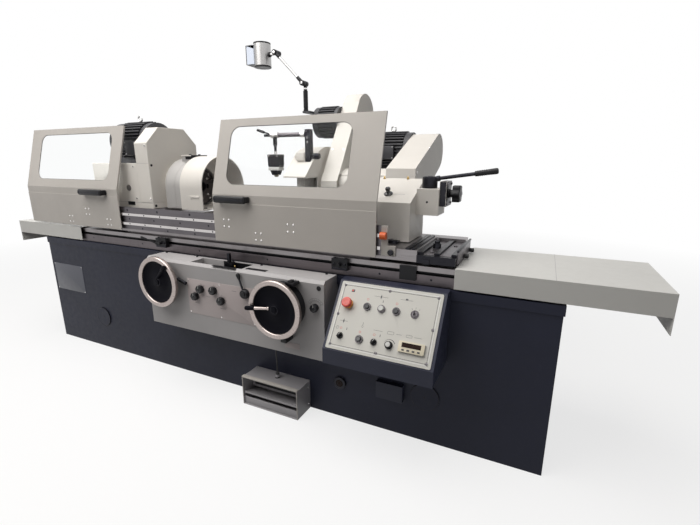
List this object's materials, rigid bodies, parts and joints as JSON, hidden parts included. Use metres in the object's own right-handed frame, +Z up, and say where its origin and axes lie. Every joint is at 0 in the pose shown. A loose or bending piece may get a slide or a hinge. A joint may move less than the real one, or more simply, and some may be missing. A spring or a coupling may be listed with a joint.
{
  "type": "cylindrical grinding machine",
  "caption": "Universal cylindrical grinder: long dark bed, sliding table with swivel headstock and tailstock, sliding windowed guards, wheelhead behind, handwheels and a tilted panel in front.",
  "frame": {"origin": "on the underside of the bed, at the middle of its length and straight below the work axis", "axes": "+X along the table towards the tailstock, +Y to the rear, +Z up"},
  "size_m": [3.682, 1.609, 1.9245],
  "materials": {
    "navy_paint": "satin",
    "navy_casting": "satin paint",
    "grey_casting": "satin paint",
    "white_casting": "satin paint",
    "white_sheet": "satin",
    "grey_sheet": "satin",
    "table_iron": "ground",
    "ground_steel": "ground",
    "dark_steel": "blackened",
    "clear_pane": "clear",
    "motor_paint": "satin paint",
    "handwheel_alloy": "polished",
    "black_plastic": "matte",
    "grey_plastic": "matte",
    "white_plastic": "gloss",
    "red_plastic": "gloss",
    "abrasive": "rough",
    "lamp_shell": "brushed",
    "cable_rubber": "matte"
  },
  "bodies": {
    "bed": {"machine_bed": "navy_casting", "way_covers": "white_sheet", "apron_housing": "grey_casting", "control_box": "navy_paint", "foot_switch_hood": "grey_sheet", "foot_switch_cable": "cable_rubber"},
    "table": {"lower_table": "table_iron"},
    "upper_table": {"swivel_table": "table_iron", "guard_rails": "ground_steel", "table_clamps": "dark_steel", "tailstock_body": "white_casting"},
    "left_guard": {"guard_left": "white_sheet", "guard_left_window": "clear_pane"},
    "right_guard": {"guard_right": "white_sheet", "guard_right_window": "clear_pane"},
    "headstock": {"headstock_body": "white_casting", "chuck_hood": "white_casting", "headstock_belt_cover": "white_sheet", "headstock_motor": "motor_paint"},
    "work_drive": {"work_spindle": "ground_steel", "chuck": "dark_steel"},
    "headstock_motor_shaft": {"headstock_motor_pulley": "dark_steel"},
    "quill": {"tailstock_quill": "ground_steel"},
    "quill_handle": {"quill_lever": "dark_steel"},
    "quill_setting_knob": {"quill_knob": "black_plastic"},
    "tailstock_clamp": {"tailstock_clamp_knob": "dark_steel"},
    "left_dog": {"trip_dog_left": "dark_steel"},
    "right_dog": {"trip_dog_right": "dark_steel"},
    "reversing_handle": {"reversing_lever": "dark_steel"},
    "cross_slide": {"wheel_slide": "white_casting"},
    "wheelhead": {"wheelhead_body": "white_casting", "wheel_guard": "white_sheet", "wheel_belt_cover": "white_sheet", "wheelhead_motors": "motor_paint", "internal_belt_cover": "white_sheet"},
    "wheel_drive": {"wheel_spindle": "ground_steel", "grinding_wheel": "abrasive"},
    "wheel_motor_shaft": {"wheel_motor_pulley": "dark_steel"},
    "coolant_pipe": {"coolant_arm": "dark_steel"},
    "lamp_base": {"lamp_post": "dark_steel"},
    "lamp_boom": {"lamp_arm": "dark_steel"},
    "lamp": {"lamp_head": "lamp_shell"},
    "table_wheel": {"table_handwheel": "handwheel_alloy"},
    "infeed_wheel": {"infeed_handwheel": "handwheel_alloy"},
    "start_handle": {"start_lever": "dark_steel"},
    "feed_setting": {"feed_knob": "grey_plastic"},
    "foot_plate": {"treadle": "grey_sheet"},
    "stop_button": {"emergency_stop": "red_plastic"},
    "key": {"key_switch": "dark_steel"},
    "mode_switch": {"mode_selector": "black_plastic"},
    "coolant_switch": {"coolant_selector": "black_plastic"},
    "speed_setting": {"speed_knob": "black_plastic"},
    "valve_1": {"valve_knob_1": "black_plastic"},
    "valve_2": {"valve_knob_2": "black_plastic"},
    "valve_3": {"valve_knob_3": "black_plastic"},
    "valve_4": {"valve_knob_4": "black_plastic"},
    "wheel_start_button_cap": {"wheel_start_button": "grey_plastic"},
    "work_start_button_cap": {"work_start_button": "white_plastic"},
    "work_stop_button_cap": {"work_stop_button": "grey_plastic"},
    "cycle_button_cap": {"cycle_button": "black_plastic"}
  },
  "joints": [
    {"name": "table_traverse", "type": "slide", "parent": "bed", "child": "table", "axis": [1, 0, 0], "range_m": [-0.34, 0.34]},
    {"name": "table_swivel", "type": "hinge", "parent": "table", "child": "upper_table", "pos_m": [0, 0, 0.8], "axis": [0, 0, 1], "range_deg": [-3, 6]},
    {"name": "left_guard_slide", "type": "slide", "parent": "upper_table", "child": "left_guard", "axis": [1, 0, 0], "range_m": [0, 0.35]},
    {"name": "right_guard_slide", "type": "slide", "parent": "upper_table", "child": "right_guard", "axis": [1, 0, 0], "range_m": [-0.35, 0]},
    {"name": "headstock_swivel", "type": "hinge", "parent": "upper_table", "child": "headstock", "pos_m": [-0.72, -0.055, 0.93], "axis": [0, 0, 1], "range_deg": [-8, 5]},
    {"name": "work_spin", "type": "hinge", "parent": "headstock", "child": "work_drive", "pos_m": [-0.5, 0, 1.048], "axis": [1, 0, 0], "continuous": true},
    {"name": "headstock_motor_spin", "type": "hinge", "parent": "headstock", "child": "headstock_motor_shaft", "pos_m": [-0.6215, -0.044, 1.305], "axis": [1, 0, 0], "continuous": true},
    {"name": "quill_feed", "type": "slide", "parent": "upper_table", "child": "quill", "axis": [1, 0, 0], "range_m": [0, 0.035]},
    {"name": "quill_lever_turn", "type": "hinge", "parent": "upper_table", "child": "quill_handle", "pos_m": [0.963, 0, 1.077], "axis": [0, 0, 1], "range_deg": [-60, 0]},
    {"name": "quill_knob_turn", "type": "hinge", "parent": "upper_table", "child": "quill_setting_knob", "pos_m": [1.05, 0, 1.056], "axis": [1, 0, 0], "continuous": true},
    {"name": "tailstock_clamp_turn", "type": "hinge", "parent": "upper_table", "child": "tailstock_clamp", "pos_m": [0.797, -0.082, 1.05073], "axis": [0, -0.4006, 0.9163], "range_deg": [-90, 90]},
    {"name": "left_dog_set", "type": "slide", "parent": "table", "child": "left_dog", "axis": [1, 0, 0], "range_m": [-0.32, 0.35]},
    {"name": "right_dog_set", "type": "slide", "parent": "table", "child": "right_dog", "axis": [1, 0, 0], "range_m": [-0.5, 0.11]},
    {"name": "reversing_turn", "type": "hinge", "parent": "bed", "child": "reversing_handle", "pos_m": [0.076, -0.318, 0.696], "axis": [0, 1, 0], "range_deg": [-15, 15]},
    {"name": "infeed", "type": "slide", "parent": "bed", "child": "cross_slide", "axis": [0, 1, 0], "range_m": [-0.245, 0.045]},
    {"name": "wheelhead_swivel", "type": "hinge", "parent": "cross_slide", "child": "wheelhead", "pos_m": [0.33, 0.7, 0.8], "axis": [0, 0, 1], "range_deg": [-5, 15]},
    {"name": "wheel_spin", "type": "hinge", "parent": "wheelhead", "child": "wheel_drive", "pos_m": [0.3, 0.45, 1.048], "axis": [1, 0, 0], "continuous": true},
    {"name": "wheel_motor_spin", "type": "hinge", "parent": "wheelhead", "child": "wheel_motor_shaft", "pos_m": [0.705, 0.862, 1.256], "axis": [1, 0, 0], "continuous": true},
    {"name": "coolant_arm_turn", "type": "hinge", "parent": "wheelhead", "child": "coolant_pipe", "pos_m": [0.168, 0.279, 1.345], "axis": [1, 0, 0], "range_deg": [-30, 30]},
    {"name": "lamp_post_turn", "type": "hinge", "parent": "wheelhead", "child": "lamp_base", "pos_m": [0.018, 0.5, 1.5], "axis": [0, 0, 1], "range_deg": [-90, 90]},
    {"name": "lamp_elbow", "type": "hinge", "parent": "lamp_base", "child": "lamp_boom", "pos_m": [0.018, 0.484, 1.66], "axis": [0, 1, 0], "range_deg": [-30, 30]},
    {"name": "lamp_tilt", "type": "hinge", "parent": "lamp_boom", "child": "lamp", "pos_m": [-0.178, 0.484, 1.852], "axis": [0, 1, 0], "range_deg": [-40, 40]},
    {"name": "table_wheel_turn", "type": "hinge", "parent": "bed", "child": "table_wheel", "pos_m": [-0.297, -0.419, 0.598], "axis": [0, 1, 0], "continuous": true},
    {"name": "infeed_wheel_turn", "type": "hinge", "parent": "bed", "child": "infeed_wheel", "pos_m": [0.445, -0.419, 0.58], "axis": [0, 1, 0], "continuous": true},
    {"name": "start_lever_turn", "type": "hinge", "parent": "bed", "child": "start_handle", "pos_m": [0.229, -0.419, 0.599], "axis": [0, 1, 0], "range_deg": [-25, 45]},
    {"name": "feed_knob_turn", "type": "hinge", "parent": "bed", "child": "feed_setting", "pos_m": [0.604, -0.419, 0.592], "axis": [0, 1, 0], "range_deg": [-150, 150]},
    {"name": "valve_1_turn", "type": "hinge", "parent": "bed", "child": "valve_1", "pos_m": [-0.085, -0.419, 0.542], "axis": [0, 1, 0], "range_deg": [-135, 135]},
    {"name": "valve_2_turn", "type": "hinge", "parent": "bed", "child": "valve_2", "pos_m": [-0.047, -0.419, 0.584], "axis": [0, 1, 0], "range_deg": [-135, 135]},
    {"name": "valve_3_turn", "type": "hinge", "parent": "bed", "child": "valve_3", "pos_m": [0.036, -0.419, 0.588], "axis": [0, 1, 0], "range_deg": [-135, 135]},
    {"name": "valve_4_turn", "type": "hinge", "parent": "bed", "child": "valve_4", "pos_m": [0.083, -0.419, 0.542], "axis": [0, 1, 0], "range_deg": [-135, 135]},
    {"name": "treadle_tip", "type": "hinge", "parent": "bed", "child": "foot_plate", "pos_m": [0.3265, -0.314, 0.038], "axis": [1, 0, 0], "range_deg": [0, 10], "stiffness_Nm_per_rad": 6, "springref_deg": -20.05},
    {"name": "stop_press", "type": "slide", "parent": "bed", "child": "stop_button", "axis": [0, 0.8092, -0.5876], "range_m": [0, 0.004], "stiffness_N_per_m": 300, "springref_m": -0.004},
    {"name": "wheel_start_press", "type": "slide", "parent": "bed", "child": "wheel_start_button_cap", "axis": [0, 0.8092, -0.5876], "range_m": [0, 0.004], "stiffness_N_per_m": 300, "springref_m": -0.004},
    {"name": "work_start_press", "type": "slide", "parent": "bed", "child": "work_start_button_cap", "axis": [0, 0.8092, -0.5876], "range_m": [0, 0.004], "stiffness_N_per_m": 300, "springref_m": -0.004},
    {"name": "work_stop_press", "type": "slide", "parent": "bed", "child": "work_stop_button_cap", "axis": [0, 0.8092, -0.5876], "range_m": [0, 0.004], "stiffness_N_per_m": 300, "springref_m": -0.004},
    {"name": "cycle_press", "type": "slide", "parent": "bed", "child": "cycle_button_cap", "axis": [0, 0.8092, -0.5876], "range_m": [0, 0.004], "stiffness_N_per_m": 300, "springref_m": -0.004},
    {"name": "key_turn", "type": "hinge", "parent": "bed", "child": "key", "pos_m": [1.034, -0.40677, 0.62804], "axis": [0, -0.8092, 0.5876], "range_deg": [-45, 45]},
    {"name": "mode_turn", "type": "hinge", "parent": "bed", "child": "mode_switch", "pos_m": [0.753, -0.48551, 0.51961], "axis": [0, -0.8092, 0.5876], "range_deg": [0, 90]},
    {"name": "coolant_turn", "type": "hinge", "parent": "bed", "child": "coolant_switch", "pos_m": [0.898, -0.48551, 0.51961], "axis": [0, -0.8092, 0.5876], "range_deg": [0, 90]},
    {"name": "speed_turn", "type": "hinge", "parent": "bed", "child": "speed_setting", "pos_m": [0.96, -0.48551, 0.51961], "axis": [0, -0.8092, 0.5876], "range_deg": [-150, 150]}
  ],
  "couplings": [
    {"joint": "table_wheel_turn", "follows": "table_traverse", "rad_per_m": 314.16},
    {"joint": "infeed_wheel_turn", "follows": "infeed", "rad_per_m": -628.32},
    {"joint": "headstock_motor_spin", "follows": "work_spin", "ratio": 1.625},
    {"joint": "wheel_motor_spin", "follows": "wheel_spin", "ratio": 1.1818},
    {"joint": "quill_lever_turn", "follows": "quill_feed", "rad_per_m": -29.9}
  ]
}
